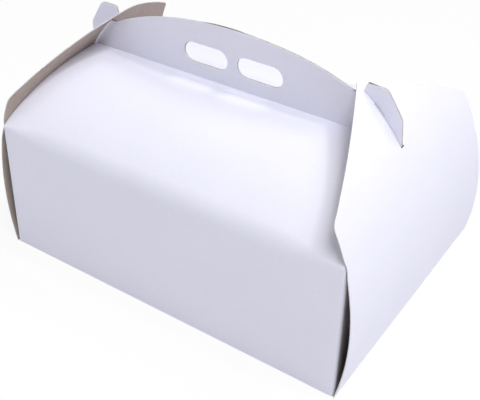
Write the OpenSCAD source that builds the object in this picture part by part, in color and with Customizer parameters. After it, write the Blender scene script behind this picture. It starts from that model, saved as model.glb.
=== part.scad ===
// Cake box with handle, folded from one sheet of card. All sizes in mm.
// Origin: centre of the underside of the base. +X runs along the long side,
// +Z is up, and the front wall faces -Y.

/* [Box] */
// Length of the base, between the folds of the two side flaps
box_length = 280; // [200:1:360]
// Width of the base, between the folds of the front and back walls
box_width = 196; // [150:1:260]
// Inward lean of the front and back walls, in degrees
wall_lean = 5.3; // [0:0.1:9]
// Radius of the soft bend between a wall and its roof panel
shoulder_radius = 20; // [14:0.5:32]
// Thickness of the card
board_thickness = 0.6; // [0.4:0.05:0.9]

/* [Roof] */
// Height of the ridge, where the roof panels turn up into the handle
ridge_height = 130; // [120:0.5:138]
// Radius of the bow of each roof panel
roof_radius = 120; // [110:1:150]
// Distance from the ridge at which each roof panel is level
roof_level_offset = 9; // [0:0.5:14]

/* [Handle] */
// Height of the top of the handle above the ridge
handle_height = 43.5; // [38:0.5:50]
// Radius of the flatter, middle part of the handle's arched top edge
handle_arc_radius = 300; // [260:1:400]
// Width of that middle part
handle_arc_width = 100; // [60:1:140]
// Radius of the arched top edge towards the two ends of the handle
handle_end_radius = 175; // [150:1:230]
// Gap between the front and back layers of the handle
layer_gap = 0.4; // [0.3:0.05:0.8]
// Width of each finger hole
finger_hole_width = 36.3; // [30:0.5:42]
// Height of each finger hole
finger_hole_height = 15.1; // [12:0.5:18]
// Width of the bridge between the two finger holes
finger_hole_bridge = 7.6; // [5:0.5:12]
// Height of the lower edge of the finger holes above the ridge
finger_hole_drop = 10.7; // [8:0.5:14]

/* [Side flaps] */
// Outward lean of each side flap where it leaves the base, in degrees
flap_start_lean = 15; // [12:0.5:17]
// Radius of the lower, bulging bend of each side flap
flap_bulge_radius = 185; // [180:1:220]
// Inward lean where the upper bend of each side flap starts, in degrees
flap_turn_lean = 17; // [15:0.5:19]
// Radius of the upper bend of each side flap
flap_top_radius = 114; // [108:1:124]
// Height of the two upper corners of each side flap
flap_corner_height = 122.5; // [116:0.5:126]
// Distance along the card from the corners to the tip of a side flap
flap_tip_rise = 55.5; // [52:0.5:60]

// How far the bead along the fold of each side flap stands out of the card
fold_bead = 0.05; // [0.03:0.01:0.15]

/* [Hooks] */
// Height of the notch in the handle, in which a side flap rests
notch_height = 22.3; // [19:0.5:25]
// Width of the notch on the inner side of the flap
notch_width = 5.3; // [4:0.1:8]
// Height of the top of the hooks above the ridge
hook_height = 35.6; // [33:0.5:38]
// Length of the flat top edge of each hook
hook_top_length = 12.4; // [9:0.2:14]
// Distance of the hook's outer edge from the fold of the side flap
hook_inset = 14.5; // [13.5:0.1:15.5]
// Radius of the rounded corners at the top of the hooks
hook_corner_radius = 3; // [1:0.5:4]

/* [Dust flaps] */
// Length of each corner dust flap
dust_flap_length = 45; // [25:1:60]
// Height of each corner dust flap
dust_flap_height = 86; // [60:1:88]

/* [Clearances] */
// Clearance between a side flap and the base along their fold
fold_clearance = 0.1; // [0.08:0.01:0.15]
// Clearance between a side flap and the ends of the walls and roof
end_clearance = 0.3; // [0.3:0.05:0.6]
// Clearance on each side of the handle in the slot of a side flap
slot_clearance = 0.7; // [0.3:0.05:1.2]

/* [Hidden] */
$fn = 96;

t = board_thickness;
big = 2 * (box_length + box_width);

// Side flap bend: mid line of the card in the XZ plane, right-hand flap
fold_r = t / 2 + fold_bead;
fold_x = box_length / 2 - fold_r;
fold_z = fold_r;
r1 = flap_bulge_radius - t / 2;
r2 = flap_top_radius - t / 2;
c1 = [fold_x - r1 * cos(flap_start_lean), fold_z + r1 * sin(flap_start_lean)];
turn = [c1[0] + r1 * cos(flap_turn_lean), c1[1] + r1 * sin(flap_turn_lean)];
c2 = [turn[0] - r2 * cos(flap_turn_lean), turn[1] - r2 * sin(flap_turn_lean)];

// X of the side flap at height z, off mm outside its mid line
function flap_x(z, off) = z < turn[1]
    ? c1[0] + sqrt(pow(r1 + off, 2) - pow(z - c1[1], 2))
    : c2[0] + sqrt(pow(r2 + off, 2) - pow(z - c2[1], 2));

// Length along the card from the start of the upper bend to height z
function length_above_turn(z) =
    r2 * (asin((z - c2[1]) / r2) - flap_turn_lean) * PI / 180;

// Height reached by a length s along the card above the start of the upper bend
function height_at(s) =
    c2[1] + r2 * sin(flap_turn_lean + s / r2 * 180 / PI);

// Front and back profile: outer line of the card, u measured outwards from y = 0
wall_dir = [-sin(wall_lean), cos(wall_lean)];
wall_in = [-cos(wall_lean), -sin(wall_lean)];
half_w = box_width / 2;
layer_u = layer_gap / 2;
roof_c = [roof_level_offset,
          ridge_height - sqrt(pow(roof_radius, 2)
                              - pow(roof_level_offset - layer_u - t, 2))];
sh_p = [half_w, 0] + shoulder_radius * wall_in - roof_c;
sh_b = sh_p * wall_dir;
sh_s = -sh_b + sqrt(sh_b * sh_b - sh_p * sh_p
                    + pow(roof_radius - shoulder_radius, 2));
sh_c = roof_c + sh_p + sh_s * wall_dir;
wall_top = sh_c - shoulder_radius * wall_in;
roof_lean = atan2(sh_c[0] - roof_c[0], sh_c[1] - roof_c[1]);

// Side flap outline: corner height, half-widths and tip
corner_u = half_w - flap_corner_height * tan(wall_lean);
corner_s = length_above_turn(flap_corner_height);
tip_height = height_at(corner_s + flap_tip_rise);
tip_angle = flap_turn_lean + (corner_s + flap_tip_rise) / r2 * 180 / PI + 3;
wall_end = fold_x - fold_r - end_clearance;

// Rows of [share of the half-width, share of the tip rise] up one slope
slope = [[1, 0], [0.995, 0.025], [0.978, 0.063], [0.95, 0.098], [0.9, 0.145],
         [0.8, 0.245], [0.7, 0.34], [0.6, 0.435], [0.5, 0.531], [0.4, 0.627],
         [0.3, 0.722], [0.2, 0.816], [0.1, 0.909], [0, 1]];
function slope_point(p) =
    [corner_u * p[0], height_at(corner_s + flap_tip_rise * p[1])];

// Handle and hook, right-hand half, in the XZ plane
slot_width = 2 * t + layer_gap + 2 * slot_clearance;
slot_low = ridge_height - 0.7;
handle_top = ridge_height + handle_height;
notch_z = ridge_height + notch_height;
notch_x = flap_x(notch_z, -t / 2);
handle_c = [0, handle_top - handle_arc_radius];
arc_half = asin(handle_arc_width / 2 / handle_arc_radius);
end_c = handle_c + (handle_arc_radius - handle_end_radius) * [sin(arc_half), cos(arc_half)];
notch_in_x = notch_x - notch_width;
notch_in_a = asin((notch_in_x - end_c[0]) / handle_end_radius);
notch_in_z = end_c[1] + handle_end_radius * cos(notch_in_a);
hook_top = ridge_height + hook_height;
hook_edge = box_length / 2 - hook_inset;
hook_foot_z = hook_top - 5.5;
hook_foot_x = flap_x(hook_foot_z, t / 2) + 0.4;
hook_in_x = hook_foot_x + 0.6;
hook_out_x = hook_in_x + hook_top_length + hook_corner_radius;
ridge_end = flap_x(ridge_height, -t / 2) - end_clearance;

// Points of an arc of radius r about c, from angle a0 to a1
function arc(c, r, a0, a1, n) =
    [for (i = [0:n]) c + r * [cos(a0 + (a1 - a0) * i / n), sin(a0 + (a1 - a0) * i / n)]];

// Bend of the right-hand side flap, off mm outside the mid line of its card
function flap_bend(off) = concat(
    arc(c1, r1 + off, -flap_start_lean, flap_turn_lean, 18),
    [for (i = [1:18]) arc(c2, r2 + off, flap_turn_lean, tip_angle, 18)[i]]);

function turned(list) = [for (i = [len(list) - 1:-1:0]) list[i]];

// Roof panel, shoulder and wall, off mm inside the outer face of the sheet
function wall_bend(off) = concat(
    arc(roof_c, roof_radius - off,
        90 + asin((roof_level_offset - layer_u) / (roof_radius - off)),
        90 - roof_lean, 14),
    [for (i = [1:14]) arc(sh_c, shoulder_radius - off, 90 - roof_lean, wall_lean, 14)[i]],
    [[half_w - off / cos(wall_lean), 0]]);

// Front half of the sheet's section: wall, shoulder and roof panel
module wall_section() {
    polygon(concat(wall_bend(0), turned(wall_bend(t))));
}

// Room inside the right-hand side flap, in the XZ plane, less the end clearance
module inside_flap() {
    room = flap_bend(-t / 2 - end_clearance);
    intersection() {
        translate([-big / 2, -1]) square([big / 2 + wall_end, big]);
        polygon(concat([[-big / 2, -1], [room[0][0], -1]], room,
                       [[-big / 2, room[len(room) - 1][1]]]));
    }
}

// Outline of one layer of the handle with its two hooks
module handle_outline() {
    difference() {
        union() {
            for (side = [0, 1]) mirror([side, 0]) half_handle();
        }
        for (side = [0, 1]) mirror([side, 0]) finger_hole();
    }
}

// Half of the handle: arched top edge, notch for the side flap, and hook
module half_handle() {
    rc = hook_corner_radius;
    polygon(concat(
        [[-1, ridge_height - t], [ridge_end, ridge_height - t],
         [ridge_end, ridge_height], [hook_edge, ridge_height + 4],
         [hook_edge, hook_top - 20.4], [hook_edge - 0.35, hook_top - 18.6],
         [hook_edge - 1.2, hook_top - 16.9]],
        arc([hook_out_x - rc, hook_top - rc], rc, 34, 90, 7),
        arc([hook_in_x + 1.8, hook_top - 1.8], 1.8, 90, 180, 6),
        [[hook_foot_x, hook_foot_z], [notch_x, notch_z]],
        arc(end_c, handle_end_radius, 90 - notch_in_a, 90 - arc_half, 16),
        [for (i = [1:14]) arc(handle_c, handle_arc_radius, 90 - arc_half, 90, 14)[i]],
        [[-1, handle_top]]));
}

// One finger hole: a slot with round ends
module finger_hole() {
    r = finger_hole_height / 2;
    z = ridge_height + finger_hole_drop + r;
    x0 = finger_hole_bridge / 2 + r;
    x1 = finger_hole_bridge / 2 + finger_hole_width - r;
    translate([x0, z]) circle(r = r);
    translate([x1, z]) circle(r = r);
    translate([x0, z - r]) square([x1 - x0, 2 * r]);
}

// Dust flap at the right-hand end of the front wall, standing across the end
module dust_flap() {
    low = t + 0.4;
    tl = tan(wall_lean);
    translate([wall_end - t, 0, 0]) rotate([90, 0, 90]) linear_extrude(height = t)
        polygon([[-half_w + low * tl + t / 2, low],
                 [-half_w + dust_flap_length, low + 5],
                 [-half_w + dust_flap_length, dust_flap_height - 22],
                 [-half_w + dust_flap_length - 7, dust_flap_height - 12],
                 [-half_w + dust_flap_height * tl + 2, dust_flap_height],
                 [-half_w + dust_flap_height * tl + t / 2, dust_flap_height]]);
}

// The folded sheet: base, walls, roof panels, both handle layers, dust flaps
module carton() {
    base_end = fold_x - fold_r - fold_clearance;
    color([0.93, 0.93, 0.96]) union() {
        translate([-base_end, -half_w + t / 2, 0])
            cube([2 * base_end, box_width - t, t]);
        intersection() {
            rotate([90, 0, 90]) linear_extrude(height = box_length, center = true)
                for (side = [0, 1]) mirror([side, 0]) wall_section();
            rotate([90, 0, 0]) linear_extrude(height = 2 * box_width, center = true)
                inside_flap();
            mirror([1, 0, 0]) rotate([90, 0, 0])
                linear_extrude(height = 2 * box_width, center = true) inside_flap();
        }
        for (side = [0, 1]) mirror([0, side, 0]) {
            translate([0, layer_u + t, 0]) rotate([90, 0, 0])
                linear_extrude(height = t) handle_outline();
            for (end = [0, 1]) mirror([end, 0, 0]) dust_flap();
        }
    }
}

// Right-hand side flap: one bent sheet with sloping top edges and a slot
module side_flap() {
    up = [for (p = slope) slope_point(p)];
    difference() {
        intersection() {
            rotate([90, 0, 0]) linear_extrude(height = box_width + 2, center = true) {
                polygon(concat(flap_bend(t / 2), turned(flap_bend(-t / 2))));
                translate([fold_x, fold_z]) circle(r = fold_r);
            }
            rotate([90, 0, 90]) linear_extrude(height = big, center = true)
                polygon(concat([[half_w, -1], [half_w, 0]], up,
                               [for (i = [len(up) - 2:-1:0]) [-up[i][0], up[i][1]]],
                               [[-half_w, 0], [-half_w, -1]]));
        }
        translate([0, -slot_width / 2, slot_low]) cube([big, slot_width, big]);
    }
}

module right_side_flap() {
    color([0.96, 0.96, 0.98]) side_flap();
}

module left_side_flap() {
    color([0.96, 0.96, 0.98]) mirror([1, 0, 0]) side_flap();
}

carton();
right_side_flap();
left_side_flap();
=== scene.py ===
import math

import bmesh
import bpy
from bpy.props import FloatProperty, FloatVectorProperty, PointerProperty
from bpy.types import Operator, Panel, PropertyGroup
from mathutils import Matrix, Vector


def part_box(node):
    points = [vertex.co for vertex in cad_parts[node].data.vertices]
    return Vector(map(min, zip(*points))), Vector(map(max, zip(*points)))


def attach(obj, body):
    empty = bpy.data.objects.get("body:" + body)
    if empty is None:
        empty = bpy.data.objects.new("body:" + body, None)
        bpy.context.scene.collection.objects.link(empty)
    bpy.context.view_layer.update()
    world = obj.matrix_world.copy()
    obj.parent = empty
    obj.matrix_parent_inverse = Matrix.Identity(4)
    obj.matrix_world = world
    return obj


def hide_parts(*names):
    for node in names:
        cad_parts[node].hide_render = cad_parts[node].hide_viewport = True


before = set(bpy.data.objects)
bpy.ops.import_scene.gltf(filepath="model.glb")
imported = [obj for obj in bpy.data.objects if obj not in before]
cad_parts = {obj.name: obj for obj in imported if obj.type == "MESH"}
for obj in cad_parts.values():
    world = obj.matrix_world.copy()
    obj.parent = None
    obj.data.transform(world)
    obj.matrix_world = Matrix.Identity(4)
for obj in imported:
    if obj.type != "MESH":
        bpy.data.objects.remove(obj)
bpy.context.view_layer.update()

bl_info = {
    "name": "Cake Box with Handle",
    "version": (1, 0, 0),
    "blender": (4, 5, 0),
    "location": "3D View > Sidebar > Cake Box",
    "description": "A folded card cake box with a carrying handle and two hooked side flaps",
    "category": "Object",
}

CARTON_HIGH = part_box("carton")[1]
MM = 0.001


# Settings


def length(name, description, default, soft_max=0.5):
    """A size in metres, shown in the scene's unit of length."""
    return FloatProperty(
        name=name, description=description, default=default,
        min=0.0, soft_max=soft_max, precision=5, unit="LENGTH", subtype="DISTANCE",
    )


def angle(name, description, degrees):
    """An angle, written in degrees."""
    return FloatProperty(
        name=name, description=description, default=math.radians(degrees),
        unit="ROTATION", subtype="ANGLE",
    )


def colour(name, description, default):
    """A surface colour, in linear values."""
    return FloatVectorProperty(
        name=name, description=description, default=default,
        size=3, min=0.0, max=1.0, subtype="COLOR",
    )


class CakeBoxSizes(PropertyGroup):
    """Sizes of the folded sheet."""

    base_length: length("Base Length", "Distance between the folds of the two side flaps", 0.280)
    base_width: length("Base Width", "Distance between the folds of the front and back walls",
                       2 * CARTON_HIGH.y)
    card: length("Card Thickness", "Thickness of the card", 0.0006, 0.002)
    wall_lean: angle("Wall Lean", "Inward lean of the front and back walls", 5.3)
    shoulder_radius: length("Shoulder Radius", "Radius of the bend between wall and roof", 0.020)
    ridge_height: length("Ridge Height", "Height of the fold between roof and handle", 0.130)
    roof_radius: length("Roof Radius", "Radius of the bow of each roof panel", 0.120)
    roof_level: length("Roof Level", "Distance from the ridge at which the roof is level", 0.009)
    handle_height: length("Handle Height", "Height of the handle above the ridge",
                          CARTON_HIGH.z - 0.130)
    layer_gap: length("Layer Gap", "Gap between the two layers of the handle", 0.0004, 0.002)
    layer_bow: length("Layer Bow", "How far the back layer of the handle bows away", 0.0007, 0.002)
    hole_width: length("Finger Hole Width", "Width of each finger hole", 0.0363)
    hole_height: length("Finger Hole Height", "Height of each finger hole", 0.0151)
    hole_bridge: length("Finger Hole Bridge", "Card left between the finger holes", 0.0076)
    hole_rise: length("Finger Hole Rise", "Lower edge of the holes above the ridge", 0.0107)
    flap_bulge: length("Flap Bulge Radius", "Radius of the lower bend of a side flap", 0.185)
    flap_top: length("Flap Top Radius", "Radius of the upper bend of a side flap", 0.114)
    flap_start: angle("Flap Start Lean", "Outward lean of a side flap at the base", 15.0)
    flap_turn: angle("Flap Turn Lean", "Inward lean where the upper bend starts", 17.0)
    flap_corner: length("Flap Corner Height", "Height of the upper corners of a side flap", 0.1225)
    flap_tip: length("Flap Tip Rise", "Length of card from the corners to the tip", 0.0555)
    slot_width: length("Slot Width", "Width of the slot that the handle passes through", 0.0034, 0.01)
    slot_drop: length("Slot Drop", "How far the slot runs below the ridge", 0.0022, 0.01)
    dust_flap: length("Dust Flap Length", "Length of each corner dust flap", 0.045)
    dust_flap_height: length("Dust Flap Height", "Height of each corner dust flap", 0.091)
    fold_radius: length("Fold Radius", "Outer radius of the creased folds", 0.0009, 0.003)
    dust_fold: length("Dust Flap Fold", "Outer radius of the folds of the dust flaps", 0.0024, 0.005)
    dust_lean: angle("Dust Flap Lean", "How far each dust flap leans into the box", 15.0)
    pinch_radius: length("Pinched Shoulder Radius", "Radius of the shoulder at its two ends", 0.0035)
    pinch_length: length("Pinch Length", "Length over which the shoulder opens out", 0.045)


class CakeBoxFinish(PropertyGroup):
    """Colours of the card."""

    coat: colour("White Coat", "Coated outside of the card", (0.800, 0.800, 0.905))
    coat_shade: colour("White Coat, Fibre", "Fibres that show through the coat", (0.780, 0.781, 0.888))
    board: colour("Board", "Uncoated inside of the card", (0.510, 0.432, 0.380))
    board_fleck: colour("Board Fibre", "Dark fibres of the uncoated inside", (0.400, 0.333, 0.288))
    fleck: colour("Board Flecks", "Dark flecks in the uncoated inside", (0.130, 0.100, 0.080))
    edge: colour("Cut Edge", "Raw edge of the card", (0.600, 0.570, 0.560))
    edge_light: colour("Cut Edge, Light", "Coat caught along the raw edge", (0.780, 0.765, 0.790))


class CakeBoxStage(PropertyGroup):
    """Light and background."""

    key: FloatProperty(name="Key Light", description="Strength of the soft key light",
                       default=0.79, min=0.0)
    key_size: angle("Key Size", "Angle that the key light fills as the box sees it", 20.0)
    side: FloatProperty(name="Side Light", description="Strength of the crisp light from the right",
                        default=0.62, min=0.0)
    side_size: angle("Side Size", "Angle that the side light fills as the box sees it", 7.0)
    fill: FloatProperty(name="Fill Light", description="Strength of the even light all round",
                        default=0.323, min=0.0)
    top: FloatProperty(name="Top Light", description="Power of the soft box above the object",
                       default=8.3, min=0.0, subtype="POWER", unit="POWER")
    front: FloatProperty(name="Front Light", description="Power of the soft box in front, on the left",
                         default=1.85, min=0.0, subtype="POWER", unit="POWER")
    fill_colour: colour("Fill Colour", "Colour of the even light all round", (0.955, 0.955, 1.0))
    floor: colour("Floor", "Colour of the floor that lights the box from below", (0.88, 0.88, 0.90))
    backdrop: FloatProperty(name="Backdrop", description="How much of the floor is plain white",
                            default=0.88, min=0.0, max=1.0, subtype="FACTOR")


# Shape of the sheet

# room for the bead of a fold, and left between the walls and the base or the side flaps
BEAD_ROOM = 0.05 * MM
BASE_ROOM = 0.1 * MM
FLAP_ROOM = 0.3 * MM
# how far the foot of a side flap reaches under its fold, and how far it stays in from the walls
FLAP_FOOT = 0.28 * MM
FOOT_INSET = 0.2 * MM
FOLD_INSET = 0.1 * MM
# heights in mm of the rows of faces on a wall and on the lower part of a side flap
WALL_ROWS = (8, 20, 34, 48, 62, 75, 84, 91)
FLAP_ROWS = (2, 6, 12, 20, 29, 38, 47, 56, 65, 74, 82, 88, 91, 93.5, 95.5, 97.5, 99.5, 102.15,
             104, 106, 108.5, 111, 114, 118, 120.6)
FOLD_STEPS = 6
SHOULDER_STEPS = 14
ROOF_STEPS = 18
FLAP_FOLD_STEPS = 4
# pointed top of a side flap: share of its rise, and the share of its width that is left there
FLAP_TAPER = ((0.0, 1.0), (0.025, 0.995), (0.063, 0.978), (0.098, 0.95), (0.145, 0.9),
              (0.245, 0.8), (0.34, 0.7), (0.435, 0.6), (0.531, 0.5), (0.627, 0.4),
              (0.722, 0.3), (0.816, 0.2), (0.909, 0.1), (0.972, 0.034), (0.995, 0.012),
              (1.0, 0.004))
# the edge of a side flap steps back behind the corner of the shoulder
TUCK = 1.3 * MM
TUCK_HEIGHT = 99.5 * MM
TUCK_SPREAD = 5 * MM
# top of the slot above the ridge
SLOT_RISE = 22.8 * MM


class SheetShape:
    """Lines of the folded sheet, worked out from the sizes."""

    def __init__(self, s):
        self.s = s
        t = s.card
        self.half_width = s.base_width / 2
        # bend of a side flap, middle of the card, in the XZ plane
        bead = t / 2 + BEAD_ROOM
        self.fold_x, self.fold_z = s.base_length / 2 - bead, bead
        self.r1, self.r2 = s.flap_bulge - t / 2, s.flap_top - t / 2
        self.c1 = (self.fold_x - self.r1 * math.cos(s.flap_start),
                   self.fold_z + self.r1 * math.sin(s.flap_start))
        self.turn = (self.c1[0] + self.r1 * math.cos(s.flap_turn),
                     self.c1[1] + self.r1 * math.sin(s.flap_turn))
        self.c2 = (self.turn[0] - self.r2 * math.cos(s.flap_turn),
                   self.turn[1] - self.r2 * math.sin(s.flap_turn))
        self.wall_end = self.fold_x - bead - FLAP_ROOM
        self.base_end = self.fold_x - bead - BASE_ROOM
        self.corner_u = self.half_width - s.flap_corner * math.tan(s.wall_lean)
        self.corner_s = self.r2 * (math.asin((s.flap_corner - self.c2[1]) / self.r2) - s.flap_turn)
        # bend of the wall into the roof, outer face, u measured from the ridge
        reach = s.roof_level - s.layer_gap / 2 - t
        self.roof_c = Vector((s.roof_level, s.ridge_height - math.sqrt(s.roof_radius**2 - reach**2)))
        self.ridge_u = s.layer_gap / 2 + t
        self.slot = (s.ridge_height - s.slot_drop, s.ridge_height + SLOT_RISE)

    def shoulder(self, radius):
        """Centre of the bend between wall and roof, top of the wall, and angle where the roof starts."""
        s = self.s
        up = Vector((-math.sin(s.wall_lean), math.cos(s.wall_lean)))
        into = Vector((-math.cos(s.wall_lean), -math.sin(s.wall_lean)))
        p = Vector((self.half_width, 0)) + radius * into - self.roof_c
        b = p.dot(up)
        centre = self.roof_c + p + (-b + math.sqrt(b * b - p.dot(p) + (s.roof_radius - radius)**2)) * up
        rise = centre - self.roof_c
        return centre, centre - radius * into, math.pi / 2 - math.atan2(rise.x, rise.y)

    def flap_x(self, z, off=0.0):
        """X of a side flap at height z, off metres outside the middle of its card."""
        if z < self.turn[1]:
            return self.c1[0] + math.sqrt((self.r1 + off)**2 - (z - self.c1[1])**2)
        return self.c2[0] + math.sqrt((self.r2 + off)**2 - (z - self.c2[1])**2)

    def height_at(self, rise):
        """Height reached by a length of card above the corners of a side flap."""
        return self.c2[1] + self.r2 * math.sin(self.s.flap_turn + (self.corner_s + rise) / self.r2)

    def end_x(self, z):
        """Where a wall or roof panel ends, just inside the side flap."""
        return min(self.wall_end, self.flap_x(z, -self.s.card / 2) - FLAP_ROOM)

    def wall_line(self, radius):
        """Outer line of the front half as (y, z, half length), from the base fold to the ridge."""
        s, rows = self.s, []
        folded = self.wall_end - s.dust_fold
        turn = math.pi / 2 + s.wall_lean
        fold_c = (-self.half_width + s.fold_radius * math.tan(turn / 2), s.fold_radius)
        for i in range(1, FOLD_STEPS + 1):
            a = -math.pi / 2 - turn * i / FOLD_STEPS
            rows.append((fold_c[0] + s.fold_radius * math.cos(a),
                         fold_c[1] + s.fold_radius * math.sin(a), folded))
        centre, top, stop = self.shoulder(radius)
        y0, z0 = rows[-1][0], rows[-1][1]
        for z in WALL_ROWS:
            f = (z * MM - z0) / (top.y - z0)
            rows.append((y0 + (-top.x - y0) * f, z * MM, folded))
        for i in range(SHOULDER_STEPS + 1):
            a = s.wall_lean + (stop - s.wall_lean) * i / SHOULDER_STEPS
            z = centre.y + radius * math.sin(a)
            rows.append((-centre.x - radius * math.cos(a), z, self.end_x(z) if i else folded))
        last = math.pi / 2 + math.asin((s.roof_level - self.ridge_u) / s.roof_radius)
        for i in range(1, ROOF_STEPS + 1):
            a = stop + (last - stop) * i / ROOF_STEPS
            z = self.roof_c.y + s.roof_radius * math.sin(a)
            rows.append((-self.roof_c.x - s.roof_radius * math.cos(a), z, self.end_x(z)))
        return rows

    def flap_rows(self):
        """Outer face of the right-hand flap as (x, z, half width), from its fold to its tip."""
        s, rows = self.s, []
        out = s.card / 2
        bead = self.fold_z
        rows.append((self.fold_x - FLAP_FOOT, 0.0, self.half_width - FOOT_INSET))
        for i in range(FLAP_FOLD_STEPS + 1):
            a = -math.pi / 2 + (math.pi / 2 - s.flap_start) * i / FLAP_FOLD_STEPS
            rows.append((self.fold_x + bead * math.cos(a), bead + bead * math.sin(a),
                         self.half_width - FOLD_INSET))
        for z in FLAP_ROWS:
            rows.append((self.flap_x(z * MM, out), z * MM, self.side_u(z * MM)))
        slope = [(self.height_at(s.flap_tip * r), self.corner_u * w) for r, w in FLAP_TAPER]
        for level in self.slot:
            for (z0, w0), (z1, w1) in zip(slope, slope[1:]):
                if z0 < level < z1:
                    slope.append((level, w0 + (w1 - w0) * (level - z0) / (z1 - z0)))
                    slope.sort()
                    break
        rows += [(self.flap_x(z, out), z, w) for z, w in slope]
        return rows

    def side_u(self, z):
        """Half width of a side flap below its corners; it steps back a little behind the shoulder."""
        tuck = TUCK * math.exp(-((z - TUCK_HEIGHT) / TUCK_SPREAD)**2)
        return self.half_width - z * math.tan(self.s.wall_lean) - tuck


def arc(centre, radius, start, stop, steps):
    """Points on an arc, angles in degrees."""
    turns = [math.radians(start + (stop - start) * i / steps) for i in range(steps + 1)]
    return [(centre[0] + radius * math.cos(a), centre[1] + radius * math.sin(a)) for a in turns]


# top edge of the handle: one wide arc over the middle and a tighter one at each end
HANDLE_ARC = 300 * MM
HANDLE_ARC_HALF = 50 * MM
HANDLE_END_ARC = 175 * MM
# notch between the handle and a hook, measured from the inside of the side flap
NOTCH_RISE = 22.3 * MM
NOTCH_WIDTH = 5.3 * MM
NOTCH_REACH = 0.85 * MM
NOTCH_CORNER = 0.35 * MM
NOTCH_STEP = 0.4 * MM
# hook: its top above the ridge, and its outer side in from the end of the base
HOOK_RISE = 34.9 * MM
HOOK_INSET = 14.5 * MM
# toe of the hook, past its side and below the ridge
HOOK_TOE = (0.9 * MM, 1.2 * MM)
# upper end of the hook's outer side, in from that side and below the top
HOOK_SIDE = ((0.0, 19.7 * MM), (0.35 * MM, 17.9 * MM), (1.2 * MM, 16.2 * MM))
HOOK_CORNER = 6 * MM
HOOK_CROWN = 10.8 * MM
HOOK_NOSE = 1.8 * MM
# foot of the hook: below its top, clear of the flap, and where its inner side starts
HOOK_FOOT_DROP = 5.5 * MM
HOOK_FOOT_ROOM = 0.4 * MM
HOOK_FOOT_STEP = 0.6 * MM


def handle_loop(shape):
    """Outline of one layer of the handle with its two hooks, as (x, z) all the way round."""
    s = shape.s
    ridge, t = s.ridge_height, s.card
    top = ridge + s.handle_height
    notch_z = ridge + NOTCH_RISE
    notch_x = shape.flap_x(notch_z, -t / 2)
    half = math.asin(HANDLE_ARC_HALF / HANDLE_ARC)
    mid_c = (0.0, top - HANDLE_ARC)
    apart = HANDLE_ARC - HANDLE_END_ARC
    end_c = (apart * math.sin(half), mid_c[1] + apart * math.cos(half))
    notch_in = math.asin((notch_x - NOTCH_WIDTH - end_c[0]) / HANDLE_END_ARC)
    hook_top = ridge + HOOK_RISE
    hook_edge = s.base_length / 2 - HOOK_INSET
    foot_z = hook_top - HOOK_FOOT_DROP
    foot_x = shape.flap_x(foot_z, t / 2) + HOOK_FOOT_ROOM
    inner = foot_x + HOOK_FOOT_STEP
    ridge_end = shape.flap_x(ridge, -t / 2) - FLAP_ROOM
    half_loop = [(ridge_end, ridge - t), (hook_edge + HOOK_TOE[0], ridge - HOOK_TOE[1])]
    half_loop += [(hook_edge - x, hook_top - z) for x, z in HOOK_SIDE]
    half_loop += arc((inner + HOOK_CROWN, hook_top - HOOK_CORNER), HOOK_CORNER, 34, 90, 9)
    half_loop += arc((inner + HOOK_NOSE, hook_top - HOOK_NOSE), HOOK_NOSE, 90, 180, 6)
    half_loop += [(foot_x, foot_z), (notch_x + NOTCH_REACH, notch_z + NOTCH_STEP),
                  (notch_x + NOTCH_CORNER, notch_z)]
    half_loop += arc(end_c, HANDLE_END_ARC, 90 - math.degrees(notch_in), 90 - math.degrees(half), 16)
    half_loop += arc(mid_c, HANDLE_ARC, 90 - math.degrees(half), 90, 14)[1:]
    return half_loop + [(-x, z) for x, z in reversed(half_loop[:-1])]


def finger_hole_loops(shape):
    """Outlines of the two finger holes, slots with round ends."""
    s = shape.s
    r = s.hole_height / 2
    z = s.ridge_height + s.hole_rise + r
    x0, x1 = s.hole_bridge / 2 + r, s.hole_bridge / 2 + s.hole_width - r
    right = arc((x1, z), r, -90, 90, 16) + arc((x0, z), r, 90, 270, 16)
    return [right, [(-x, z) for x, z in reversed(right)]]


# Working steps


def clear_selection():
    """Object mode with nothing selected."""
    if bpy.context.object and bpy.context.object.mode != "OBJECT":
        bpy.ops.object.mode_set(mode="OBJECT")
    bpy.ops.object.select_all(action="DESELECT")


def work_on(obj):
    """Makes obj the only selected and active object."""
    clear_selection()
    obj.select_set(True)
    bpy.context.view_layer.objects.active = obj


def pick(obj, test, kind="EDGE"):
    """In edit mode, selects only the edges or faces whose points all pass the test."""
    bpy.ops.mesh.select_mode(type=kind)
    bpy.ops.mesh.select_all(action="DESELECT")
    bm = bmesh.from_edit_mesh(obj.data)
    parts = bm.edges if kind == "EDGE" else bm.faces if kind == "FACE" else bm.verts
    for part in parts:
        points = [part.co] if kind == "VERT" else [v.co for v in part.verts]
        if all(test(p) for p in points):
            part.select_set(True)
    bmesh.update_edit_mesh(obj.data)


def extrude_row(step, stretch=(1.0, 1.0, 1.0), about=(0.0, 0.0, 0.0)):
    """Folds out one more row from the selected edges, then stretches it."""
    bpy.ops.mesh.extrude_region_move(TRANSFORM_OT_translate={"value": step})
    if stretch != (1.0, 1.0, 1.0):
        bpy.ops.transform.resize(value=stretch, center_override=about)


def push(obj, test, by, spread):
    """In edit mode, moves the points that pass the test, and those around them less and less."""
    pick(obj, test, "VERT")
    bpy.ops.transform.translate(value=by, use_proportional_edit=True,
                                proportional_edit_falloff="SMOOTH", proportional_size=spread)


def add_modifier(obj, kind, **settings):
    """Adds one modifier and applies it."""
    work_on(obj)
    mod = obj.modifiers.new(kind.title(), kind)
    for key, value in settings.items():
        setattr(mod, key, value)
    bpy.ops.object.modifier_apply(modifier=mod.name)


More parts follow.
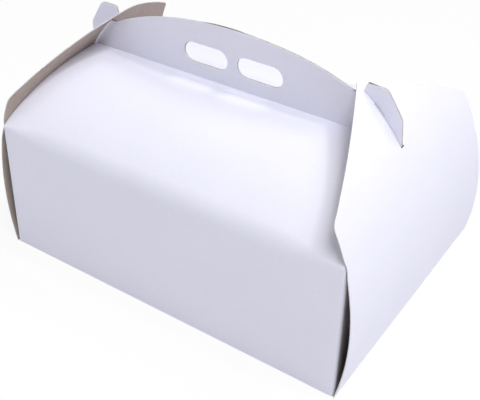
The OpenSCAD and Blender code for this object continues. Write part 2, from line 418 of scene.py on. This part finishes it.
def face_outwards(obj, out):
    """Recalculates the normals of an open sheet, so that the face nearest to out points that way."""
    work_on(obj)
    bpy.ops.object.mode_set(mode="EDIT")
    bpy.ops.mesh.select_all(action="SELECT")
    bpy.ops.mesh.remove_doubles(threshold=0.00002)
    bpy.ops.mesh.normals_make_consistent(inside=False)
    bpy.ops.object.mode_set(mode="OBJECT")
    far = max(obj.data.polygons, key=lambda f: f.center.dot(out) + 0.01 * abs(f.normal.dot(out)))
    if far.normal.dot(out) < 0:
        bpy.ops.object.mode_set(mode="EDIT")
        bpy.ops.mesh.select_all(action="SELECT")
        bpy.ops.mesh.flip_normals()
        bpy.ops.object.mode_set(mode="OBJECT")


def give_thickness(obj, card, materials):
    """Turns the outer face of a sheet into card: coat outside, board inside, raw edge all round."""
    obj.data.materials.clear()
    for m in materials:
        obj.data.materials.append(m)
    for f in obj.data.polygons:
        f.material_index = 0
    add_modifier(obj, "SOLIDIFY", thickness=card, offset=-1.0, use_even_offset=True,
                 use_quality_normals=True, material_offset=1, material_offset_rim=2)
    work_on(obj)
    bpy.ops.object.shade_smooth_by_angle(angle=math.radians(28))


def plane_strip(name, corner, along, up):
    """A new plane turned into the strip from corner to corner + along + up."""
    clear_selection()
    bpy.ops.mesh.primitive_plane_add(size=2.0, location=(0, 0, 0))
    obj = bpy.context.object
    obj.name = obj.data.name = name
    corners = {(-1, -1): corner, (1, -1): corner + along,
               (-1, 1): corner + up, (1, 1): corner + along + up}
    bpy.ops.object.mode_set(mode="EDIT")
    for (sx, sy), place in corners.items():
        pick(obj, lambda p: abs(p.x - sx) < 0.01 and abs(p.y - sy) < 0.01 and abs(p.z) < 1e-6, "VERT")
        bpy.ops.transform.translate(value=place - Vector((sx, sy, 0)))
    bpy.ops.object.mode_set(mode="OBJECT")
    return obj


def dress(obj, node, body):
    """Hides the node that a finished piece stands for, and ties the piece to its body."""
    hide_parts(node)
    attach(obj, body)


# Materials


class Nodes:
    """Adds and links the nodes of one material."""

    def __init__(self, name):
        self.material = bpy.data.materials.new(name)
        self.material.use_nodes = True
        self.tree = self.material.node_tree
        self.tree.nodes.clear()

    def add(self, kind, **settings):
        """A new node with its settings."""
        node = self.tree.nodes.new(kind)
        for key, value in settings.items():
            setattr(node, key, value)
        return node

    def link(self, source, target):
        """Links an output to an input."""
        self.tree.links.new(source, target)

    def noise(self, coords, scale, detail, rough=0.5, stretch=(1, 1, 1)):
        """Noise on the piece's own coordinates, drawn out along the grain."""
        place = self.add("ShaderNodeMapping")
        place.inputs["Scale"].default_value = stretch
        self.link(coords, place.inputs["Vector"])
        noise = self.add("ShaderNodeTexNoise")
        noise.inputs["Scale"].default_value = scale
        noise.inputs["Detail"].default_value = detail
        noise.inputs["Roughness"].default_value = rough
        self.link(place.outputs["Vector"], noise.inputs["Vector"])
        return noise.outputs["Fac"]

    def spread(self, value, low, high, to_low=0.0, to_high=1.0):
        """Draws the range low to high out to a new range."""
        node = self.add("ShaderNodeMapRange", clamp=True)
        node.inputs["From Min"].default_value = low
        node.inputs["From Max"].default_value = high
        node.inputs["To Min"].default_value = to_low
        node.inputs["To Max"].default_value = to_high
        self.link(value, node.inputs["Value"])
        return node.outputs["Result"]

    def mix(self, factor, a, b, blend="MIX"):
        """Mixes two colours, each a colour or the output of a node."""
        node = self.add("ShaderNodeMix", data_type="RGBA", blend_type=blend)
        self.link(factor, node.inputs["Factor"])
        for key, value in (("A", a), ("B", b)):
            socket = [i for i in node.inputs if i.name == key and i.type == "RGBA"][0]
            if isinstance(value, bpy.types.NodeSocket):
                self.link(value, socket)
            else:
                socket.default_value = (*value, 1.0)
        return [o for o in node.outputs if o.type == "RGBA"][0]

    def total(self, parts):
        """Adds up heights, each given with its share."""
        out = None
        for value, share in parts:
            node = self.add("ShaderNodeMath", operation="MULTIPLY_ADD")
            self.link(value, node.inputs[0])
            node.inputs[1].default_value = share
            if out is None:
                node.inputs[2].default_value = 0.0
            else:
                self.link(out, node.inputs[2])
            out = node.outputs[0]
        return out

    def finish(self, base, rough, height, distance, specular):
        """Closes the material with a shader, its gloss and its relief."""
        shader = self.add("ShaderNodeBsdfPrincipled")
        shader.inputs["Specular IOR Level"].default_value = specular
        self.link(base, shader.inputs["Base Color"])
        self.link(rough, shader.inputs["Roughness"])
        bump = self.add("ShaderNodeBump")
        bump.inputs["Strength"].default_value = 1.0
        bump.inputs["Distance"].default_value = distance
        self.link(height, bump.inputs["Height"])
        self.link(bump.outputs["Normal"], shader.inputs["Normal"])
        out = self.add("ShaderNodeOutputMaterial")
        self.link(shader.outputs["BSDF"], out.inputs["Surface"])
        return self.material


GRAIN_ALONG_X = (0.5, 1.0, 1.0)
GRAIN_UPRIGHT = (1.0, 1.0, 0.5)


def white_coat(name, finish, grain):
    """Thin white coat over the card: satin, with the fibres just showing through."""
    n = Nodes(name)
    at = n.add("ShaderNodeTexCoord").outputs["Object"]
    cloud = n.noise(at, 26.0, 3.0, 0.5)
    fibre = n.noise(at, 620.0, 4.0, 0.6, grain)
    pores = n.noise(at, 2100.0, 2.0, 0.5)
    shade = n.spread(n.total([(fibre, 0.6), (cloud, 0.4)]), 0.40, 0.62)
    base = n.mix(shade, finish.coat_shade, finish.coat)
    rough = n.spread(fibre, 0.3, 0.7, 0.46, 0.58)
    height = n.total([(fibre, 0.5), (pores, 0.5), (cloud, 1.5)])
    return n.finish(base, rough, height, 0.000018, 0.28)


def bare_board(name, finish, grain):
    """Uncoated grey-brown inside of the card, with long fibres and dark flecks."""
    n = Nodes(name)
    at = n.add("ShaderNodeTexCoord").outputs["Object"]
    cloud = n.noise(at, 34.0, 4.0, 0.55)
    streak = n.noise(at, 420.0, 5.0, 0.6, tuple(0.25 * g if g < 1 else g for g in grain))
    fleck = n.noise(at, 1300.0, 2.0, 0.5, grain)
    shade = n.spread(n.total([(streak, 0.7), (cloud, 0.3)]), 0.34, 0.66)
    base = n.mix(shade, finish.board_fleck, finish.board)
    dots = n.spread(fleck, 0.68, 0.76, 0.0, 0.55)
    base = n.mix(dots, base, finish.fleck)
    rough = n.spread(streak, 0.3, 0.7, 0.72, 0.9)
    height = n.total([(streak, 0.8), (fleck, 0.4), (cloud, 0.6)])
    return n.finish(base, rough, height, 0.00008, 0.15)


def raw_edge(name, finish):
    """Raw edge where the die has cut the card."""
    n = Nodes(name)
    at = n.add("ShaderNodeTexCoord").outputs["Object"]
    torn = n.noise(at, 900.0, 4.0, 0.65)
    ply = n.noise(at, 240.0, 3.0, 0.5)
    base = n.mix(n.spread(n.total([(torn, 0.6), (ply, 0.4)]), 0.42, 0.66), finish.edge,
                 finish.edge_light)
    rough = n.spread(torn, 0.3, 0.7, 0.8, 0.95)
    return n.finish(base, rough, torn, 0.00006, 0.1)


def card_materials(finish, where, grain):
    """Coat, board and raw edge for one part of the sheet."""
    edge = bpy.data.materials.get("Raw Cut Edge") or raw_edge("Raw Cut Edge", finish)
    return [white_coat(f"White Coat, {where}", finish, grain),
            bare_board(f"Bare Board, {where}", finish, grain), edge]


# Operators


# upright cuts through the base, walls and roof, as shares of half the length
CUTS = (0.2, 0.4, 0.55, 0.66, 0.74, 0.8, 0.85, 0.89, 0.92, 0.945, 0.965, 0.985)
# dust flap: steps inwards from its fold in mm, each with how far the flap narrows there
DUST_STEPS = ((6.0, 1.0), (16.0, 0.91), (14.0, 0.93), (6.5, 0.84))
DUST_FOLD_STEPS = 9
# share of the way into the box that the top of a dust flap rises at its fold
DUST_LIFT = 0.75
# height, as a share of the flap's, that stays in place where a dust flap narrows
DUST_LEVEL = 0.12


class CAKEBOX_OT_walls_and_roof(Operator):
    """Folds the base, the two walls, the two roof panels and the four dust flaps"""

    bl_idname = "cakebox.walls_and_roof"
    bl_label = "Base, Walls and Roof"

    def execute(self, context):
        shape = SheetShape(context.scene.cake_box_sizes)
        finish = context.scene.cake_box_finish
        s = shape.s
        rows = shape.wall_line(s.shoulder_radius)
        inset = s.fold_radius * math.tan((math.pi / 2 + s.wall_lean) / 2)
        # a quarter of the base, then row by row up the wall and over the roof
        obj = plane_strip("carton_sheet", Vector((0, 0, 0)), Vector((shape.base_end, 0, 0)),
                          Vector((0, -shape.half_width + inset, 0)))
        bpy.ops.object.mode_set(mode="EDIT")
        for share in CUTS:
            bpy.ops.mesh.select_all(action="SELECT")
            bpy.ops.mesh.bisect(plane_co=(shape.base_end * share, 0, 0), plane_no=(1, 0, 0))
        y, z, end = -shape.half_width + inset, 0.0, shape.base_end
        pick(obj, lambda p: abs(p.y - y) < 1e-6)
        for next_y, next_z, next_end in rows:
            extrude_row((0, next_y - y, next_z - z), (next_end / end, 1, 1))
            y, z, end = next_y, next_z, next_end
        self.pinch_shoulder(obj, shape, rows)
        self.dust_flap(obj, shape)
        bpy.ops.object.mode_set(mode="OBJECT")
        add_modifier(obj, "MIRROR", use_axis=(True, True, False), merge_threshold=0.00001)
        face_outwards(obj, Vector((0, 0, -1)))
        give_thickness(obj, s.card, card_materials(finish, "Carton", GRAIN_ALONG_X))
        dress(obj, "carton", "carton")
        return {"FINISHED"}

    def pinch_shoulder(self, obj, shape, rows):
        """Draws the soft bend between wall and roof tighter towards its ends, where the flaps hold it."""
        s = shape.s
        bm = bmesh.from_edit_mesh(obj.data)
        for v in bm.verts:
            if v.co.z < s.dust_flap_height + 1e-6:
                continue
            i = min(range(len(rows)),
                    key=lambda k: (rows[k][0] - v.co.y)**2 + (rows[k][1] - v.co.z)**2)
            share = v.co.x / rows[i][2]
            f = min((shape.wall_end * (1 - share)) / s.pinch_length, 1.0)
            f = f * f * (3 - 2 * f)
            line = shape.wall_line(s.pinch_radius + (s.shoulder_radius - s.pinch_radius) * f)
            v.co = Vector((share * line[i][2], line[i][0], line[i][1]))
        bmesh.update_edit_mesh(obj.data)

    def dust_flap(self, obj, shape):
        """Folds one dust flap in from the end of the wall."""
        s = shape.s
        folded = shape.wall_end - s.dust_fold
        low, high = 0.4 * MM, s.dust_flap_height + 8 * MM
        pick(obj, lambda p: abs(p.x - folded) < 1e-6 and p.y < -80 * MM and low < p.z < high)
        x, y = 0.0, 0.0
        turn = math.pi / 2 + s.dust_lean
        for i in range(1, DUST_FOLD_STEPS + 1):
            a = turn * i / DUST_FOLD_STEPS
            nx, ny = s.dust_fold * math.sin(a), s.dust_fold * (1 - math.cos(a))
            extrude_row((nx - x, ny - y, 0))
            self.lift_top(obj, DUST_LIFT * (ny - y))
            x, y = nx, ny
        into, back = -math.sin(s.dust_lean), math.cos(s.dust_lean)
        for step, top in DUST_STEPS:
            extrude_row((step * MM * into, step * MM * back, 0), (1, 1, top),
                        (0, 0, s.dust_flap_height * DUST_LEVEL))
        bm = bmesh.from_edit_mesh(obj.data)
        for v in bm.verts:
            if v.co.x > folded and v.co.z < s.dust_flap_height + 11 * MM:
                v.co.x = min(v.co.x, max(shape.end_x(v.co.z), folded))
        bmesh.update_edit_mesh(obj.data)

    def lift_top(self, obj, rise):
        """Raises the topmost point of the selected row, so that the dust flap follows the roof."""
        bm = bmesh.from_edit_mesh(obj.data)
        max((v for v in bm.verts if v.select), key=lambda v: v.co.z).co.z += rise
        bmesh.update_edit_mesh(obj.data)


# how far each hook lies off the middle, how far the right one leans, and how far the back layer
# sits lower on its left
HOOK_SHIFTS = ((-1, 0.55 * MM), (1, -0.8 * MM))
HOOK_LEAN = 0.9 * MM
LEFT_SAG = 0.6 * MM


class CAKEBOX_OT_handle(Operator):
    """Cuts the two layers of the handle, with finger holes and hooks, and joins them to the sheet"""

    bl_idname = "cakebox.handle"
    bl_label = "Handle and Hooks"

    def execute(self, context):
        sheet = bpy.data.objects.get("carton_sheet")
        if sheet is None:
            raise RuntimeError("Base, Walls and Roof comes before the handle")
        shape = SheetShape(context.scene.cake_box_sizes)
        s = shape.s
        materials = list(sheet.data.materials)
        face = s.layer_gap / 2 + s.card
        front = self.flat_card("handle_front", shape, -face)
        back = self.flat_card("handle_back", shape, face)
        self.bow(back, shape)
        for layer in (front, back):
            self.sway(layer)
        face_outwards(front, Vector((0, -1, 0)))
        face_outwards(back, Vector((0, 1, 0)))
        for layer in (front, back):
            give_thickness(layer, s.card, materials)
        clear_selection()
        for part in (front, back, sheet):
            part.select_set(True)
        bpy.context.view_layer.objects.active = sheet
        bpy.ops.object.join()
        return {"FINISHED"}

    def flat_card(self, name, shape, y):
        """One flat layer in the XZ plane, cut from its outline and holes."""
        zoom = 20.0
        clear_selection()
        curve = bpy.data.curves.new(name, "CURVE")
        curve.dimensions, curve.fill_mode = "2D", "BOTH"
        for loop in [handle_loop(shape)] + finger_hole_loops(shape):
            spline = curve.splines.new("POLY")
            spline.points.add(len(loop) - 1)
            for point, (x, z) in zip(spline.points, loop):
                point.co = (x * zoom, z * zoom, 0, 1)
            spline.use_cyclic_u = True
        obj = bpy.data.objects.new(name, curve)
        bpy.context.collection.objects.link(obj)
        work_on(obj)
        bpy.ops.object.convert(target="MESH")
        obj.rotation_euler = (math.pi / 2, 0, 0)
        obj.scale = (1 / zoom,) * 3
        obj.location = (0, y, 0)
        bpy.ops.object.transform_apply(location=True, rotation=True, scale=True)
        bpy.ops.object.mode_set(mode="EDIT")
        bpy.ops.mesh.select_all(action="SELECT")
        bpy.ops.mesh.remove_doubles(threshold=0.00002)
        for x in range(-112, 113, 14):
            bpy.ops.mesh.select_all(action="SELECT")
            bpy.ops.mesh.bisect(plane_co=(x * MM, 0, 0), plane_no=(1, 0, 0))
        for z in (134.5, 140.0, 157.0, 163.0, 168.0):
            bpy.ops.mesh.select_all(action="SELECT")
            bpy.ops.mesh.bisect(plane_co=(0, 0, z * MM), plane_no=(0, 0, 1))
        bpy.ops.object.mode_set(mode="OBJECT")
        return obj

    def bow(self, layer, shape):
        """Bows the back layer away from the front one along its top edge and at the right hook."""
        s = shape.s
        top = s.ridge_height + s.handle_height
        hook_crown = s.ridge_height + 33.5 * MM
        left_end = s.ridge_height + 24.0 * MM
        work_on(layer)
        bpy.ops.object.mode_set(mode="EDIT")
        push(layer, lambda p: -44 * MM < p.x < -1 * MM and p.z > top - 6.5 * MM,
             (0, s.layer_bow, 0), 22 * MM)
        push(layer, lambda p: 98.2 * MM < p.x < 110 * MM and p.z > hook_crown,
             (0, HOOK_LEAN, 0), 9 * MM)
        push(layer, lambda p: -94 * MM < p.x < -28 * MM and p.z > left_end,
             (0, 0, -LEFT_SAG), 14 * MM)
        bpy.ops.object.mode_set(mode="OBJECT")

    def sway(self, layer):
        """Lets the two hooks lie to opposite sides of their slots, and the right one lean."""
        work_on(layer)
        bpy.ops.object.mode_set(mode="EDIT")
        for side, shift in HOOK_SHIFTS:
            push(layer, lambda p: p.x * side > 98 * MM and (p.z > 137 * MM or p.x * side > 124 * MM),
                 (0, shift, 0), 12 * MM)
        push(layer, lambda p: p.x > 96 * MM and p.z > 150.5 * MM, (0, HOOK_LEAN, 0), 14 * MM)
        bpy.ops.object.mode_set(mode="OBJECT")


class CAKEBOX_OT_side_flaps(Operator):
    """Bends the two side flaps up from the base, each with its slot for the handle"""

    bl_idname = "cakebox.side_flaps"
    bl_label = "Side Flaps"

    def execute(self, context):
        shape = SheetShape(context.scene.cake_box_sizes)
        finish = context.scene.cake_box_finish
        s = shape.s
        right = self.bent_sheet(shape)
        clear_selection()
        right.select_set(True)
        bpy.context.view_layer.objects.active = right
        bpy.ops.object.duplicate(linked=False)
        left = bpy.context.object
        left.name = left.data.name = "left_flap_sheet"
        left.scale = (-1, 1, 1)
        bpy.ops.object.transform_apply(location=False, rotation=False, scale=True)
        materials = card_materials(finish, "Side Flaps", GRAIN_UPRIGHT)
        for obj, side in ((right, "right"), (left, "left")):
            face_outwards(obj, Vector((1 if side == "right" else -1, 0, 0)))
            give_thickness(obj, s.card, materials)
            dress(obj, f"{side}_side_flap", f"{side}_flap")
        return {"FINISHED"}

    def bent_sheet(self, shape):
        """Outer face of the right-hand flap: half of it row by row, mirrored, then slotted."""
        s = shape.s
        rows = shape.flap_rows()
        (x, z, half), (x1, z1, half1) = rows[0], rows[1]
        obj = plane_strip("right_flap_sheet", Vector((x, 0, z)), Vector((0, half, 0)),
                          Vector((x1 - x, 0, z1 - z)))
        bpy.ops.object.mode_set(mode="EDIT")
        pick(obj, lambda p: abs(p.x - x1) < 1e-6)
        x, z = x1, z1
        for next_x, next_z, next_half in rows[2:]:
            extrude_row((next_x - x, 0, next_z - z), (1, next_half / half, 1))
            x, z, half = next_x, next_z, next_half
        bpy.ops.object.mode_set(mode="OBJECT")
        add_modifier(obj, "MIRROR", use_axis=(False, True, False), merge_threshold=0.00001)
        slot_low, slot_high = shape.slot
        bpy.ops.object.mode_set(mode="EDIT")
        for side in (-1, 1):
            bpy.ops.mesh.select_all(action="SELECT")
            bpy.ops.mesh.bisect(plane_co=(0, side * s.slot_width / 2, 0), plane_no=(0, 1, 0))
        pick(obj, lambda p: abs(p.y) < s.slot_width / 2 + 1e-6
             and slot_low - 1e-6 < p.z < slot_high + 1e-6, "FACE")
        bpy.ops.mesh.delete(type="FACE")
        bpy.ops.object.mode_set(mode="OBJECT")
        return obj


# where the light comes from, and where the soft boxes stand, in metres
KEY_FROM = Vector((0.265, 0.531, 0.804))
SIDE_FROM = Vector((0.440, 0.205, 0.874))
TOP_PLACE = Vector((0.50, -0.25, 1.20))
TOP_SIZE = 0.5
FRONT_PLACE = Vector((-0.80, -1.00, 0.60))
FRONT_SIZE = 0.8
BOX_MIDDLE = Vector((0, 0, 0.07))
# the camera: its place, its three axes, and its lens and sensor in mm
CAMERA_PLACE = (0.31207, -0.42173, 0.44316)
CAMERA_RIGHT = (0.81915, 0.57270, -0.03164)
CAMERA_UP = (-0.33248, 0.51906, 0.78743)
CAMERA_BACK = (0.46739, -0.63450, 0.61560)
CAMERA_LENS = 67.23
CAMERA_SENSOR = 36.0


class CAKEBOX_OT_stage(Operator):
    """Sets the floor, the white background, the soft light and the camera"""

    bl_idname = "cakebox.stage"
    bl_label = "Stage"

    def execute(self, context):
        look = context.scene.cake_box_stage
        self.floor(look)
        self.world(context.scene, look)
        self.sun("Key Light", look.key, look.key_size, KEY_FROM)
        self.sun("Side Light", look.side, look.side_size, SIDE_FROM)
        self.soft_box("Top Light", look.top, TOP_SIZE, TOP_PLACE)
        self.soft_box("Front Light", look.front, FRONT_SIZE, FRONT_PLACE)
        self.camera(context.scene)
        context.scene.view_settings.view_transform = "Standard"
        return {"FINISHED"}

    def seen_by_eye(self, tree):
        """1 for rays from the camera, or seen in gloss or through glass."""
        path = tree.nodes.new("ShaderNodeLightPath")
        out = path.outputs["Is Camera Ray"]
        for name in ("Is Glossy Ray", "Is Transmission Ray"):
            most = tree.nodes.new("ShaderNodeMath")
            most.operation = "MAXIMUM"
            tree.links.new(out, most.inputs[0])
            tree.links.new(path.outputs[name], most.inputs[1])
            out = most.outputs[0]
        return out

    def floor(self, look):
        """A floor that takes the shadow of the box and is nearly plain white to the camera."""
        clear_selection()
        bpy.ops.mesh.primitive_plane_add(size=8.0, location=(0, 0, -0.0001))
        floor = bpy.context.object
        floor.name = "floor"
        mat = bpy.data.materials.new("Floor")
        mat.use_nodes = True
        tree = mat.node_tree
        tree.nodes.clear()
        paint = tree.nodes.new("ShaderNodeBsdfDiffuse")
        paint.inputs["Color"].default_value = (*look.floor, 1)
        plain = tree.nodes.new("ShaderNodeEmission")
        plain.inputs["Color"].default_value = (1, 1, 1, 1)
        plain.inputs["Strength"].default_value = 1.0
        share = tree.nodes.new("ShaderNodeMath")
        share.operation = "MULTIPLY"
        share.inputs[1].default_value = look.backdrop
        tree.links.new(self.seen_by_eye(tree), share.inputs[0])
        mix = tree.nodes.new("ShaderNodeMixShader")
        tree.links.new(share.outputs[0], mix.inputs[0])
        tree.links.new(paint.outputs[0], mix.inputs[1])
        tree.links.new(plain.outputs[0], mix.inputs[2])
        out = tree.nodes.new("ShaderNodeOutputMaterial")
        tree.links.new(mix.outputs[0], out.inputs["Surface"])
        floor.data.materials.append(mat)

    def world(self, scene, look):
        """Even light all round, and plain white where the camera looks past the floor."""
        world = bpy.data.worlds.new("Even Light")
        scene.world = world
        world.use_nodes = True
        tree = world.node_tree
        tree.nodes.clear()
        fill = tree.nodes.new("ShaderNodeBackground")
        fill.inputs["Color"].default_value = (*look.fill_colour, 1)
        fill.inputs["Strength"].default_value = look.fill
        white = tree.nodes.new("ShaderNodeBackground")
        white.inputs["Color"].default_value = (1, 1, 1, 1)
        white.inputs["Strength"].default_value = 1.0
        mix = tree.nodes.new("ShaderNodeMixShader")
        tree.links.new(self.seen_by_eye(tree), mix.inputs[0])
        tree.links.new(fill.outputs[0], mix.inputs[1])
        tree.links.new(white.outputs[0], mix.inputs[2])
        out = tree.nodes.new("ShaderNodeOutputWorld")
        tree.links.new(mix.outputs[0], out.inputs["Surface"])

    def sun(self, name, strength, size, towards):
        """A lamp far away whose light comes from the given direction."""
        lamp = bpy.data.lights.new(name, "SUN")
        lamp.energy, lamp.angle = strength, size
        obj = bpy.data.objects.new(name, lamp)
        bpy.context.collection.objects.link(obj)
        obj.location = towards * 1.5
        obj.rotation_euler = towards.to_track_quat("Z", "Y").to_euler()

    def soft_box(self, name, power, size, place):
        """A square soft box that looks at the middle of the object and isn't seen itself."""
        lamp = bpy.data.lights.new(name, "AREA")
        lamp.energy, lamp.size = power, size
        obj = bpy.data.objects.new(name, lamp)
        bpy.context.collection.objects.link(obj)
        obj.location = place
        obj.rotation_euler = (place - BOX_MIDDLE).to_track_quat("Z", "Y").to_euler()
        obj.visible_camera = False

    def camera(self, scene):
        """The camera, placed as for the photo."""
        data = bpy.data.cameras.new("Camera")
        data.lens, data.sensor_width, data.sensor_fit = CAMERA_LENS, CAMERA_SENSOR, "HORIZONTAL"
        data.clip_start, data.clip_end = 0.01, 50.0
        cam = bpy.data.objects.new("Camera", data)
        bpy.context.collection.objects.link(cam)
        axes = Matrix((CAMERA_RIGHT, CAMERA_UP, CAMERA_BACK)).transposed()
        turn = axes.to_quaternion().to_matrix().to_4x4()
        cam.matrix_world = Matrix.Translation(CAMERA_PLACE) @ turn
        scene.camera = cam


class CAKEBOX_PT_panel(Panel):
    """Pieces, sizes, colours and stage of the cake box"""

    bl_idname = "CAKEBOX_PT_panel"
    bl_label = "Cake Box with Handle"
    bl_space_type = "VIEW_3D"
    bl_region_type = "UI"
    bl_category = "Cake Box"

    def draw(self, context):
        layout = self.layout
        for step in STEPS:
            layout.operator(step.bl_idname)
        for title, group in (("Sizes", context.scene.cake_box_sizes),
                             ("Colours", context.scene.cake_box_finish),
                             ("Stage", context.scene.cake_box_stage)):
            box = layout.box()
            box.label(text=title)
            for key in group.bl_rna.properties.keys():
                if key not in ("rna_type", "name"):
                    box.prop(group, key)


STEPS = (
    CAKEBOX_OT_walls_and_roof,
    CAKEBOX_OT_handle,
    CAKEBOX_OT_side_flaps,
    CAKEBOX_OT_stage,
)
CLASSES = (CakeBoxSizes, CakeBoxFinish, CakeBoxStage, *STEPS, CAKEBOX_PT_panel)


def register():
    for cls in CLASSES:
        bpy.utils.register_class(cls)
    bpy.types.Scene.cake_box_sizes = PointerProperty(type=CakeBoxSizes)
    bpy.types.Scene.cake_box_finish = PointerProperty(type=CakeBoxFinish)
    bpy.types.Scene.cake_box_stage = PointerProperty(type=CakeBoxStage)


def unregister():
    del bpy.types.Scene.cake_box_stage
    del bpy.types.Scene.cake_box_finish
    del bpy.types.Scene.cake_box_sizes
    for cls in reversed(CLASSES):
        bpy.utils.unregister_class(cls)


def main():
    """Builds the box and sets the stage."""
    register()
    bpy.ops.cakebox.walls_and_roof()
    bpy.ops.cakebox.handle()
    bpy.ops.cakebox.side_flaps()
    bpy.ops.cakebox.stage()
    bpy.context.view_layer.update()


if __name__ == "__main__":
    main()
